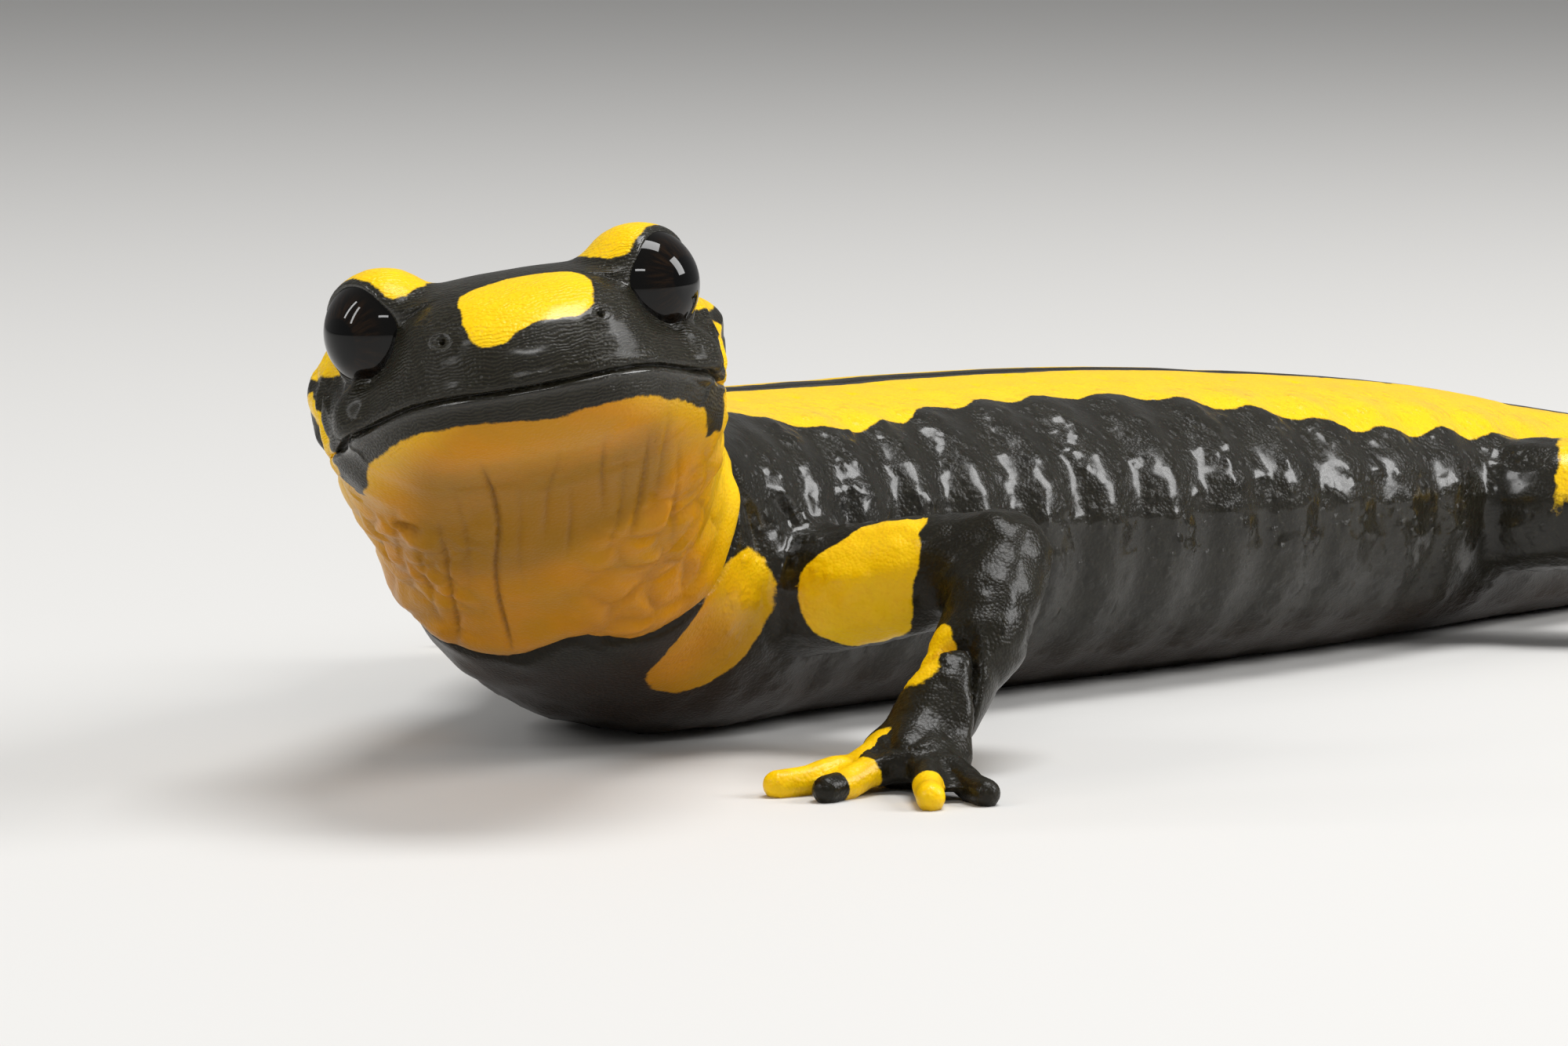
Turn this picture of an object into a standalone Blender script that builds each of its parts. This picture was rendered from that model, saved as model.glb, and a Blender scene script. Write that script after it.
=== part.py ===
"""A fire salamander, life size, resting on the floor with its head raised and turned to its left.

Sizes are millimetres, made into metres where a mesh is built. +Z is up and the floor is z = 0. The trunk
lies along X with the tail towards +X, and the origin is on the flat of the belly. Head, trunk and tail
follow one spine, and the limbs grow out of the trunk. A gap parts each piece from the next.
"""

import math

import bmesh
import bpy
import numpy as np
from mathutils import Matrix, Vector

MM = 0.001
GAP = 0.3
UP = Vector((0, 0, 1))

# Head: its own frame has x forward, y to the animal's left, z up, and its origin on the lips at the snout.
SNOUT_TIP = Vector((-57.3, -28.0, 22.4))
HEAD_HEADING = math.radians(-126.5)
HEAD_PITCH = math.radians(12)
HEAD_ROLL = math.radians(10)
HEAD_FRAME = (
    Matrix.Translation(SNOUT_TIP)
    @ Matrix.Rotation(HEAD_HEADING, 4, "Z")
    @ Matrix.Rotation(-HEAD_PITCH, 4, "Y")
    @ Matrix.Rotation(HEAD_ROLL, 4, "X")
)
AXIS_ABOVE_LIPS = 1.2
SNOUT_ROUNDING = (14.0, 11.0, 4.5)  # lengths over which the width, the crown and the chin come round
HEAD_END, NECK_END = 21.5, 34.0
HEAD_TRIANGLES = 2200
# The closed mouth: distance back from the snout, and height of the lips there.
LIPS = ((0.0, 0.0), (1.2, 0.25), (2.7, 0.35), (4.7, 0.2), (8.0, -0.15), (12.0, -0.35), (28.0, -0.6))

# Swellings of the head's left side, mirrored on its right: centre, radii, and turn about the head's upright.
HEAD_SWELLINGS = {
    "eyelids": ((-8.4, 6.45, 5.3), (2.95, 2.95, 2.95), 0.0),
    "brow": ((-10.6, 5.9, 4.5), (3.2, 2.4, 2.4), -0.2),
    "parotid_gland": ((-17.0, 7.8, 2.2), (4.8, 2.9, 3.4), 0.1),
    "cheek": ((-12.6, 8.1, 1.6), (2.6, 2.1, 1.9), 0.1),
    "lip": ((-9.4, 7.4, 1.2), (3.6, 2.1, 1.8), 0.35),
}
EYE_CENTRE = Vector((-8.2, 6.75, 5.4))
EYE_RADIUS = 2.6
EYE_OUTWARD = Vector((0.42, 0.88, 0.20)).normalized()
EYE_SEAT = 0.3  # the eye is the outer part of its ball, from this far inside the centre
SOCKET_RADIUS = 3.25

# The spine: distance from the snout, place, then half width, rise above it and drop below it.
SPINE = (
    ("snout", 0, None, 10.0, 5.8, 3.7),
    ("eyes", 8, None, 10.1, 5.8, 5.1),
    ("jaw_corner", 14, None, 10.3, 5.9, 7.6),
    ("nape", 22, (-44.1, -11.3, 16.7), 9.5, 7.0, 8.8),
    ("neck", 30, (-38.5, -6.6, 13.0), 9.3, 7.1, 9.6),
    ("shoulders", 38, (-31.6, -3.3, 10.7), 10.8, 7.8, 10.6),
    ("ribs", 48, (-22.0, -1.0, 9.7), 11.4, 8.2, 9.9),
    ("belly_front", 60, (-10.0, 0.0, 9.3), 12.2, 8.4, 9.7),
    ("belly", 74, (4.0, 0.0, 9.1), 12.3, 8.2, 9.6),
    ("loins", 88, (18.0, -0.5, 8.7), 11.3, 7.5, 9.2),
    ("hips", 99, (29.0, -0.9, 8.0), 9.4, 6.9, 8.3),
    ("vent", 109, (39.0, -1.0, 6.8), 7.0, 6.2, 6.9),
    ("tail_root", 119, (49.0, -0.5, 5.8), 5.6, 5.5, 5.9),
    ("tail_first", 134, (63.8, 1.8, 4.8), 4.8, 4.8, 5.0),
    ("tail_second", 150, (79.0, 6.8, 4.1), 4.1, 4.2, 4.3),
    ("tail_third", 166, (93.1, 14.3, 3.3), 3.3, 3.4, 3.5),
    ("tail_fourth", 182, (105.9, 23.9, 2.3), 2.3, 2.4, 2.5),
    ("tail_tip", 197, (117.1, 33.9, 1.2), 1.2, 1.2, 1.4),
)
TAIL_ROUNDING = 5.0
ROLL_ENDS = 34.0  # the head's roll has died out this far back
# How far each section is from an ellipse (2) towards a rectangle, by distance from the snout.
SQUARENESS = ((0, 2.9), (14, 2.6), (24, 2.3), (38, 2.5), (62, 2.25), (109, 2.1), (197, 2.0))

COSTAL_GROOVES = 12
FIRST_GROOVE, LAST_GROOVE = 43.0, 98.0
GROOVE_DEPTH = 0.28
TRUNK_CUTS = (56.0, 84.0, 107.0)
TAIL_CUTS = (137.0, 167.0)

# Each limb: the places and radii of shoulder or hip, mid-length, elbow or knee, mid-length, wrist or
# ankle and palm. Then the way the hand points, each digit's angle from that, and its length.
LIMBS = {
    "foreleg_left": {
        "joints": ((-28.6, -7.0, 7.4), (-25.8, -16.6, 8.9), (-22.1, -22.9, 10.6), (-25.4, -25.1, 7.2),
                   (-29.2, -26.2, 3.6), (-32.1, -27.4, 1.6)),
        "radii": (3.7, 3.4, 2.8, 2.5, 2.05, 1.9),
        "heading": -150, "spread": (-42, -21, 22, 46), "digits": (4.9, 4.1, 4.6, 3.8),
    },
    "foreleg_right": {
        "joints": ((-31.6, 4.0, 8.6), (-25.4, 10.8, 9.4), (-18.8, 15.8, 9.6), (-18.0, 18.8, 5.8),
                   (-16.8, 21.0, 2.9), (-15.2, 22.8, 1.5)),
        "radii": (3.7, 3.4, 2.8, 2.5, 2.05, 1.9),
        "heading": 72, "spread": (-50, -16, 16, 50), "digits": (3.4, 4.6, 4.8, 3.8),
    },
    "hindleg_left": {
        "joints": ((30.0, -4.8, 7.4), (33.6, -12.4, 8.2), (37.6, -18.8, 7.6), (40.6, -21.8, 5.0),
                   (43.2, -24.6, 2.8), (43.6, -28.2, 1.5)),
        "radii": (4.3, 4.0, 3.1, 2.75, 2.2, 2.0),
        "heading": -92, "spread": (62, 32, 2, -26, -56), "digits": (2.8, 4.4, 5.6, 5.2, 3.4),
    },
    "hindleg_right": {
        "joints": ((30.0, 3.4, 7.4), (26.2, 11.0, 8.4), (21.6, 17.4, 7.8), (23.8, 20.8, 5.0),
                   (25.8, 23.4, 2.8), (24.8, 27.0, 1.5)),
        "radii": (4.3, 4.0, 3.1, 2.75, 2.2, 2.0),
        "heading": 118, "spread": (-62, -32, -2, 26, 56), "digits": (2.8, 4.4, 5.6, 5.2, 3.4),
    },
}
LIMB_WORDS = {"foreleg": ("upper_arm", "forearm", "hand"), "hindleg": ("thigh", "shin", "foot")}
DIGIT_RADIUS = 0.92
PALM_FLATNESS = 0.62
LIMB_TRIANGLES = 620

BLACK = (0.018, 0.017, 0.013, 1.0)
YELLOW = (0.86, 0.56, 0.01, 1.0)
EYE_BLACK = (0.006, 0.005, 0.004, 1.0)


def finish(name, colour, roughness):
    made = bpy.data.materials.new(name)
    made.use_nodes = True
    shader = made.node_tree.nodes["Principled BSDF"]
    shader.inputs["Base Color"].default_value = colour
    shader.inputs["Roughness"].default_value = roughness
    return made


def collection(name):
    made = bpy.data.collections.new(name)
    bpy.context.scene.collection.children.link(made)
    return made


def through(places, values, at):
    """A smooth curve through values at places, read at one place."""
    places, values = np.asarray(places, float), np.asarray(values, float)
    slopes = np.gradient(values, places, axis=0)
    i = int(np.clip(np.searchsorted(places, at) - 1, 0, len(places) - 2))
    step = places[i + 1] - places[i]
    t = (at - places[i]) / step
    from_start = (2 * t**3 - 3 * t**2 + 1) * values[i] + (t**3 - 2 * t**2 + t) * step * slopes[i]
    from_end = (3 * t**2 - 2 * t**3) * values[i + 1] + (t**3 - t**2) * step * slopes[i + 1]
    return from_start + from_end


def spaced(start, end, step):
    count = max(2, round((end - start) / step) + 1)
    return list(np.linspace(start, end, count))


def rounding(distance, length):
    """0 at a rounded end, rising as an ellipse to 1 at length from it."""
    return math.sqrt(1 - (1 - min(max(distance, 0), length) / length) ** 2)


def spine_place(station):
    name, distance, place = station[:3]
    if place is None:
        return HEAD_FRAME @ Vector((-distance, 0, AXIS_ABOVE_LIPS))
    return Vector(place)


SPINE_AT = [station[1] for station in SPINE]
SPINE_PLACES = [spine_place(station) for station in SPINE]
SPINE_SIZES = [station[3:] for station in SPINE]
BODY_LENGTH = SPINE_AT[-1]


def spine_frame(s):
    """Centre, left and up at distance s along the spine."""
    centre = Vector(through(SPINE_AT, SPINE_PLACES, s))
    ahead = Vector(through(SPINE_AT, SPINE_PLACES, max(s - 0.5, 0)))
    behind = Vector(through(SPINE_AT, SPINE_PLACES, min(s + 0.5, BODY_LENGTH)))
    forward = (ahead - behind).normalized()
    left = UP.cross(forward).normalized()
    roll = HEAD_ROLL * (1 - min(s / ROLL_ENDS, 1) ** 2)
    left.rotate(Matrix.Rotation(roll, 3, forward))
    return centre, left, forward.cross(left)


def costal_swell(s, across):
    """How far the flank stands out between the costal grooves, and falls back in them."""
    if not FIRST_GROOVE <= s <= LAST_GROOVE:
        return 0.0
    phase = (s - FIRST_GROOVE) / (LAST_GROOVE - FIRST_GROOVE) * (COSTAL_GROOVES - 1)
    return -GROOVE_DEPTH * abs(across) ** 1.5 * math.cos(2 * math.pi * phase)


def body_ring(s, sides, grow=0.0):
    """The points of the body's section at distance s, flattened where it meets the floor."""
    centre, left, up = spine_frame(s)
    tail = rounding(BODY_LENGTH - s, TAIL_ROUNDING)
    half_width, rise, drop = (
        size * rounding(s, length) * tail + grow
        for size, length in zip(through(SPINE_AT, SPINE_SIZES, s), SNOUT_ROUNDING)
    )
    power = 2 / np.interp(s, *zip(*SQUARENESS))
    points = []
    for k in range(sides):
        angle = 2 * math.pi * (k + 0.5) / sides
        across = math.copysign(abs(math.cos(angle)) ** power, math.cos(angle))
        along = math.copysign(abs(math.sin(angle)) ** power, math.sin(angle))
        reach = half_width + costal_swell(s, math.cos(angle))
        point = centre + left * (across * reach) + up * (along * (rise if along > 0 else drop))
        point.z = max(point.z, -grow)
        points.append(point)
    return points


def loft(name, group, rings, ends=(None, None)):
    """An object lofted through rings of points. Each end is flat, or runs to the point given for it."""
    bm = bmesh.new()
    loops = [[bm.verts.new(point * MM) for point in ring] for ring in rings]
    for front, back in zip(loops, loops[1:]):
        for k in range(len(front)):
            j = (k + 1) % len(front)
            bm.faces.new((front[k], back[k], back[j], front[j]))
    for loop, end in ((loops[0], ends[0]), (loops[-1], ends[1])):
        if end is None:
            bm.faces.new(loop)
            continue
        tip = bm.verts.new(end * MM)
        for k in range(len(loop)):
            bm.faces.new((tip, loop[k], loop[(k + 1) % len(loop)]))
    bmesh.ops.recalc_face_normals(bm, faces=bm.faces)
    return object_of(name, group, bm)


def object_of(name, group, bm):
    """An object of a bmesh, which is freed."""
    mesh = bpy.data.meshes.new(name)
    bm.to_mesh(mesh)
    bm.free()
    made = bpy.data.objects.new(name, mesh)
    group.objects.link(made)
    return made


def body_tube(name, group, places, sides, grow=0.0):
    """A length of the body through its sections at places, pointed at the snout and at the tail's end."""
    ends = [None, None]
    if places[0] <= 0:
        ends[0] = spine_frame(0)[0]
        places = places[1:]
    if places[-1] >= BODY_LENGTH:
        ends[1] = spine_frame(BODY_LENGTH)[0]
        places = places[:-1]
    return loft(name, group, [body_ring(s, sides, grow) for s in places], ends)


def ball(name, group, shape, segments):
    """A unit ball under the matrix shape, whose lengths are millimetres."""
    bm = bmesh.new()
    bmesh.ops.create_uvsphere(bm, u_segments=segments, v_segments=segments // 2, radius=1)
    bmesh.ops.transform(bm, matrix=Matrix.Scale(MM, 4) @ shape, verts=bm.verts)
    return object_of(name, group, bm)


def mirrored(vector, side):
    """A point or direction in the head's frame: on the left for side 1, on the right for side -1."""
    return Vector((vector[0], vector[1] * side, vector[2]))


def apply_modifiers(made):
    graph = bpy.context.evaluated_depsgraph_get()
    mesh = bpy.data.meshes.new_from_object(made.evaluated_get(graph))
    made.modifiers.clear()
    made.data = mesh


def boolean(made, other, operation="DIFFERENCE"):
    cut = made.modifiers.new(operation.title(), "BOOLEAN")
    cut.operation = operation
    cut.object = other
    apply_modifiers(made)


def grow_together(name, group, pieces, voxel, smoothing, triangles):
    """One closed skin over pieces that run through each other, with the creases between them softened."""
    bm = bmesh.new()
    for piece in pieces:
        bm.from_mesh(piece.data)
        bpy.data.objects.remove(piece)
    made = object_of(name, group, bm)
    remesh = made.modifiers.new("Remesh", "REMESH")
    remesh.mode = "VOXEL"
    remesh.voxel_size = voxel * MM
    blend = made.modifiers.new("Smooth", "SMOOTH")
    blend.iterations = smoothing
    apply_modifiers(made)
    thin = made.modifiers.new("Decimate", "DECIMATE")
    thin.ratio = triangles / (2 * len(made.data.polygons))
    apply_modifiers(made)
    return made


def cut_flat(made, point, keep):
    """Cuts a mesh along the plane through point, closes the cut, and keeps the side that keep points to."""
    bm = bmesh.new()
    bm.from_mesh(made.data)
    geometry = bm.verts[:] + bm.edges[:] + bm.faces[:]
    cut = bmesh.ops.bisect_plane(bm, geom=geometry, plane_co=point * MM, plane_no=keep, clear_inner=True)
    rim = [edge for edge in cut["geom_cut"] if isinstance(edge, bmesh.types.BMEdge)]
    bmesh.ops.holes_fill(bm, edges=rim)
    bmesh.ops.recalc_face_normals(bm, faces=bm.faces)
    bm.to_mesh(made.data)
    bm.free()


def hide(made):
    made.hide_render = True
    made.display_type = "WIRE"


def wear(made, skin):
    made.data.materials.clear()
    made.data.materials.append(skin)


def head_flesh(group):
    """The whole head: its part of the body, with lids, brows, glands and cheeks grown into it."""
    tube_places = [0, 0.25, 0.8, 1.6, 2.6, 3.8, *spaced(5.2, HEAD_END + 3, 1.4)]
    pieces = [body_tube("skull", group, tube_places, 40)]
    for side in (1, -1):
        for name, (centre, radii, turn) in HEAD_SWELLINGS.items():
            place = Matrix.Translation(mirrored(centre, side)) @ Matrix.Rotation(turn * side, 4, "Z")
            pieces.append(ball(name, group, HEAD_FRAME @ place @ Matrix.Diagonal((*radii, 1)), 24))
    return grow_together("head", group, pieces, 0.42, 5, HEAD_TRIANGLES)


def mouth_cutter(name, group, above):
    """The space above or below the closed mouth, from half a gap short of it."""
    reach, far = 16.0, 30.0 if above else -30.0
    shift = GAP / 2 if above else -GAP / 2
    backs, heights = zip(*LIPS)
    rings = []
    for back in (-4.0, *spaced(0.0, backs[-1], 1.5)):
        lips = through(backs, heights, max(back, 0.0)) - shift
        corners = ((-reach, lips), (reach, lips), (reach, far), (-reach, far))
        rings.append([HEAD_FRAME @ Vector((-back, y, z)) for y, z in corners])
    made = loft(name, group, rings)
    hide(made)
    return made


def eye_piece(name, group, side, radius, seat, segments):
    """The outer part of an eyeball, flat where it sits in the head."""
    centre, outward = mirrored(EYE_CENTRE, side), mirrored(EYE_OUTWARD, side)
    made = ball(name, group, HEAD_FRAME @ Matrix.Translation(centre) @ Matrix.Scale(radius, 4), segments)
    cut_flat(made, HEAD_FRAME @ (centre - outward * seat), HEAD_FRAME.to_3x3() @ outward)
    return made


def make_head(group, cutters, upper_skin, throat_skin, eye_finish):
    """Head, lower jaw and eyes."""
    head = head_flesh(group)
    centre, left, up = spine_frame(HEAD_END - GAP / 2)
    cut_flat(head, centre, left.cross(up))
    for side, word in ((1, "left"), (-1, "right")):
        socket = eye_piece(f"socket_{word}", cutters, side, SOCKET_RADIUS, EYE_SEAT + GAP, 20)
        hide(socket)
        boolean(head, socket)
        eye = eye_piece(f"eye_{word}", group, side, EYE_RADIUS, EYE_SEAT, 16)
        wear(eye, eye_finish)
        eye.data.shade_smooth()
    jaw = bpy.data.objects.new("lower_jaw", head.data.copy())
    group.objects.link(jaw)
    boolean(head, mouth_cutter("below_mouth", cutters, above=False))
    boolean(jaw, mouth_cutter("above_mouth", cutters, above=True))
    wear(head, upper_skin)
    wear(jaw, throat_skin)


def make_trunk_and_tail(group, skin):
    """Neck, trunk and tail: lengths of the body, each with its spacing and number of sides."""
    groove = (LAST_GROOVE - FIRST_GROOVE) / (COSTAL_GROOVES - 1)
    lengths = (
        ("neck", HEAD_END, NECK_END, 2.0, 28),
        ("trunk_front", NECK_END, TRUNK_CUTS[0], groove / 2, 28),
        ("trunk_middle", TRUNK_CUTS[0], TRUNK_CUTS[1], groove / 2, 28),
        ("trunk_rear", TRUNK_CUTS[1], TRUNK_CUTS[2], groove / 2, 24),
        ("tail_base", TRUNK_CUTS[2], TAIL_CUTS[0], 2.8, 18),
        ("tail_middle", TAIL_CUTS[0], TAIL_CUTS[1], 3.0, 14),
        ("tail_tip", TAIL_CUTS[1], BODY_LENGTH - 2.5, 2.5, 12),
    )
    for name, start, end, step, sides in lengths:
        if name == "tail_tip":
            places = [*spaced(start + GAP / 2, end, step), end + 1.5, end + 2.2, BODY_LENGTH]
        else:
            places = spaced(start + GAP / 2, end - GAP / 2, step)
        wear(body_tube(name, group, places, sides), skin)


def dome_ring(centre, side, forward, radius, turn, sides):
    """A circle round a limb at centre, or with a turn a circle of latitude on the dome at the limb's end."""
    centre = centre + forward * (radius * math.sin(turn))
    up = forward.cross(side)
    reach = radius * math.cos(turn)
    points = []
    for k in range(sides):
        angle = 2 * math.pi * (k + 0.5) / sides
        points.append(centre + side * (reach * math.cos(angle)) + up * (reach * math.sin(angle)))
    return points


def limb_tube(name, group, places, radii, sides):
    """A round, tapering length of limb or digit, with a dome on each end."""
    at = [0.0]
    for a, b in zip(places, places[1:]):
        at.append(at[-1] + (b - a).length)
    stations, side = [], UP.cross(places[-1] - places[0])
    for s in spaced(0, at[-1], 0.9):
        ahead = through(at, places, min(s + 0.2, at[-1]))
        behind = through(at, places, max(s - 0.2, 0))
        forward = Vector(ahead - behind).normalized()
        side = (side - forward * side.dot(forward)).normalized()
        stations.append((Vector(through(at, places, s)), side, forward, through(at, radii, s)))
    turns = [math.radians(turn) for turn in (25, 50, 75)]
    rings = [dome_ring(*stations[0], -turn, sides) for turn in reversed(turns)]
    rings += [dome_ring(*station, 0.0, sides) for station in stations]
    rings += [dome_ring(*stations[-1], turn, sides) for turn in turns]
    first, last = stations[0], stations[-1]
    return loft(name, group, rings, (first[0] - first[2] * first[3], last[0] + last[2] * last[3]))


def digit_tube(name, group, base, heading, length):
    """A digit that lies on the floor and dips a little into it, where it is cut flat."""
    way = Vector((math.cos(heading), math.sin(heading), 0))
    shape = ((0.0, 1.5, 1.0), (0.35, 1.25, 0.95), (0.7, 0.72, 1.05), (1.0, 0.62, 0.82))
    places = [base + way * (length * share) + UP * (height - base.z) for share, height, thickness in shape]
    radii = [DIGIT_RADIUS * thickness for share, height, thickness in shape]
    return limb_tube(name, group, places, radii, 10)


def limb_flesh(name, limb, group):
    """A whole limb with its hand or foot, grown into one."""
    places = [Vector(place) for place in limb["joints"]]
    heading = math.radians(limb["heading"])
    way = Vector((math.cos(heading), math.sin(heading), 0))
    across = UP.cross(way)
    palm_radius = 1.33 * len(limb["digits"]) ** 0.5
    palm_shape = Matrix.Diagonal((palm_radius, palm_radius, palm_radius * PALM_FLATNESS, 1))
    pieces = [
        limb_tube("upper", group, places[:3], limb["radii"][:3], 14),
        limb_tube("lower", group, places[2:], limb["radii"][2:], 14),
        ball("palm", group, Matrix.Translation(places[-1]) @ palm_shape, 20),
    ]
    for turn, length in zip(limb["spread"], limb["digits"]):
        lean = math.radians(turn)
        start = places[-1] + (way * (0.35 * math.cos(lean)) + across * (0.75 * math.sin(lean))) * palm_radius
        pieces.append(digit_tube("digit", group, start, heading + lean, length + palm_radius * 0.55))
    return grow_together(name, group, pieces, 0.33, 3, LIMB_TRIANGLES)


def make_limb(name, limb, group, body, upper_skin, lower_skin):
    """Upper limb, lower limb, and the hand or foot with its digits: one flesh, parted at the joints."""
    kind, side = name.split("_")
    places = [Vector(place) for place in limb["joints"]]
    upper_way = (places[2] - places[1]).normalized()
    elbow_way = (upper_way + (places[3] - places[2]).normalized()).normalized()
    wrist_way = ((places[4] - places[3]).normalized() - UP).normalized()
    elbow, wrist = (places[2], elbow_way), (places[4], wrist_way)
    flesh = limb_flesh(name, limb, group)
    cut_flat(flesh, Vector((0, 0, 0)), UP)
    for word, nearer, farther in zip(LIMB_WORDS[kind], (None, elbow, wrist), (elbow, wrist, None)):
        made = bpy.data.objects.new(f"{word}_{side}", flesh.data.copy())
        group.objects.link(made)
        if nearer:
            cut_flat(made, nearer[0] + nearer[1] * (GAP / 2), nearer[1])
        else:
            boolean(made, body)
        if farther:
            cut_flat(made, farther[0] - farther[1] * (GAP / 2), -farther[1])
        wear(made, lower_skin if nearer else upper_skin)
    bpy.data.objects.remove(flesh)


for old in list(bpy.data.objects):
    bpy.data.objects.remove(old)
salamander = collection("fire_salamander")
cutting_tools = collection("cutters")
black_skin = finish("skin_black", BLACK, 0.35)
yellow_skin = finish("skin_yellow", YELLOW, 0.35)

make_head(salamander, cutting_tools, black_skin, yellow_skin, finish("eye", EYE_BLACK, 0.08))
make_trunk_and_tail(salamander, black_skin)
body_and_gap = body_tube("body_and_gap", cutting_tools, spaced(HEAD_END, 130.0, 1.9), 28, grow=GAP)
hide(body_and_gap)
for limb_name, limb_sizes in LIMBS.items():
    make_limb(limb_name, limb_sizes, salamander, body_and_gap, yellow_skin, black_skin)
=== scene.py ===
import math

import bmesh
import bpy
import numpy as np
from mathutils import Matrix, Vector, noise


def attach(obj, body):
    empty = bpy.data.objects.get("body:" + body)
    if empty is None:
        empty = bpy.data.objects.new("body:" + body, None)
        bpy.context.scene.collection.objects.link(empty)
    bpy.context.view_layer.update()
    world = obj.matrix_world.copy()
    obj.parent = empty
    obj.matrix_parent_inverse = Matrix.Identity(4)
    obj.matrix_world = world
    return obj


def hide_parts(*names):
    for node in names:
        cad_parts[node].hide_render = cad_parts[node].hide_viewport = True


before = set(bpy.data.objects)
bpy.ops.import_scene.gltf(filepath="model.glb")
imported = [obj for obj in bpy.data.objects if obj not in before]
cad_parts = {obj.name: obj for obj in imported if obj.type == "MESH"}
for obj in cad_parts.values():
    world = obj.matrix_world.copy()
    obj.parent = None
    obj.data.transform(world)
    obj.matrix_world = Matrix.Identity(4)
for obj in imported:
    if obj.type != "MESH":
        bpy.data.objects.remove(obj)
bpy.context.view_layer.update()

# ---------------------------------------------------------------------------------------------------
# The skin. One moist skin covers the whole animal, from lips to tail tip. It starts as the solids of
# flesh grown into one, and is then worked over: lids, lips, nostrils, glands, folds, grooves and toes.
# All lengths in this section are millimetres.

MM = 0.001
UP = Vector((0, 0, 1))
flesh_nodes = [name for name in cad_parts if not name.startswith("eye_")]

# The head's own frame: x ahead from the snout tip, y to the animal's left, z up. The head is raised,
# turned to the left and leans a little.
snout_tip = Vector((-57.3, -28.0, 22.4))
head_turn, head_raise, head_lean = math.radians(-126.5), math.radians(-12), math.radians(10)
head_frame = (
    Matrix.Translation(snout_tip)
    @ Matrix.Rotation(head_turn, 4, "Z")
    @ Matrix.Rotation(head_raise, 4, "Y")
    @ Matrix.Rotation(head_lean, 4, "X")
)
eye_centre = Vector((-8.4, 6.46, 4.9))
eye_radius = 3.0
eye_outward = Vector((0.57, 0.81, -0.12)).normalized()


def smooth_step(low, high, x):
    """0 at low and 1 at high, with a soft start and end."""
    t = np.clip((x - low) / (high - low), 0, 1)
    return t * t * (3 - 2 * t)


def bell(x, width):
    """1 at 0, and fading out over the width to each side."""
    return np.exp(-((x / width) ** 2))


def through(places, values, at):
    """A smooth curve through values at places, read at an array of places."""
    places, values = np.asarray(places, float), np.asarray(values, float)
    slopes = np.gradient(values, places, axis=0)
    i = np.clip(np.searchsorted(places, at) - 1, 0, len(places) - 2)
    step = places[i + 1] - places[i]
    t = (at - places[i]) / step
    if values.ndim > 1:
        t, step = t[..., None], step[..., None]
    return (
        (2 * t**3 - 3 * t**2 + 1) * values[i]
        + (t**3 - 2 * t**2 + t) * step * slopes[i]
        + (3 * t**2 - 2 * t**3) * values[i + 1]
        + (t**3 - t**2) * step * slopes[i + 1]
    )


def deselect_all():
    for each in bpy.context.selected_objects:
        each.select_set(False)


def apply_modifiers(piece):
    deselect_all()
    piece.select_set(True)
    bpy.context.view_layer.objects.active = piece
    for modifier in list(piece.modifiers):
        bpy.ops.object.modifier_apply(modifier=modifier.name)


# The flesh: copies of the solids, grown a little so that they meet, with the eyelids' mounds put back.
meet_by, voxel, draw_in = 0.22, 0.34, 0.2
lid_mounds = (
    (eye_centre, (3.2, 3.2, 3.2)),
    (eye_centre + Vector((1.1, -1.3, -0.9)), (2.8, 2.2, 2.3)),
)
head_in_metres = Matrix.Translation(head_frame.translation * (MM - 1)) @ head_frame
deselect_all()
copies = []
for name in flesh_nodes:
    node = bpy.data.objects[name]
    copy = bpy.data.objects.new("flesh_copy", node.data.copy())
    bpy.context.scene.collection.objects.link(copy)
    copies.append(copy)
for side in (1, -1):
    for place, size in lid_mounds:
        bpy.ops.mesh.primitive_uv_sphere_add(segments=48, ring_count=24, radius=MM)
        mound = bpy.context.object
        mound.data.transform(Matrix.Diagonal((*size, 1)))
        place = Vector((place.x, place.y * side, place.z)) * MM
        mound.data.transform(head_in_metres @ Matrix.Translation(place))
        copies.append(mound)
deselect_all()
for copy in copies:
    copy.select_set(True)
bpy.context.view_layer.objects.active = copies[0]
bpy.ops.object.join()
skin = bpy.context.object
skin.name = "skin"
skin.data.name = "skin"
skin.data.materials.clear()
bpy.ops.object.mode_set(mode="EDIT")
bpy.ops.mesh.select_all(action="SELECT")
bpy.ops.mesh.remove_doubles(threshold=0.00001)
bpy.ops.object.mode_set(mode="OBJECT")
grow = skin.modifiers.new("grow", "DISPLACE")
grow.strength = meet_by * MM
grow.mid_level = 0
remesh = skin.modifiers.new("remesh", "REMESH")
remesh.mode = "VOXEL"
remesh.voxel_size = voxel * MM
apply_modifiers(skin)
soften = skin.modifiers.new("soften", "SMOOTH")
soften.factor = 0.5
soften.iterations = 8
shrink = skin.modifiers.new("shrink", "DISPLACE")
shrink.strength = -draw_in * MM
shrink.mid_level = 0
apply_modifiers(skin)


def read_points():
    """The places of the skin's points in millimetres."""
    places = np.empty(len(skin.data.vertices) * 3)
    skin.data.vertices.foreach_get("co", places)
    return places.reshape(-1, 3) / MM


def read_normals():
    """Which way the skin faces at each point."""
    normals = np.empty(len(skin.data.vertices) * 3)
    skin.data.vertex_normals.foreach_get("vector", normals)
    return normals.reshape(-1, 3)


def write_points(places):
    skin.data.vertices.foreach_set("co", (places * MM).ravel())
    skin.data.update()


to_head = np.array(head_frame.inverted())


def in_head(places):
    """Places seen from the head's own frame."""
    return places @ to_head[:3, :3].T + to_head[:3, 3]


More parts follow.
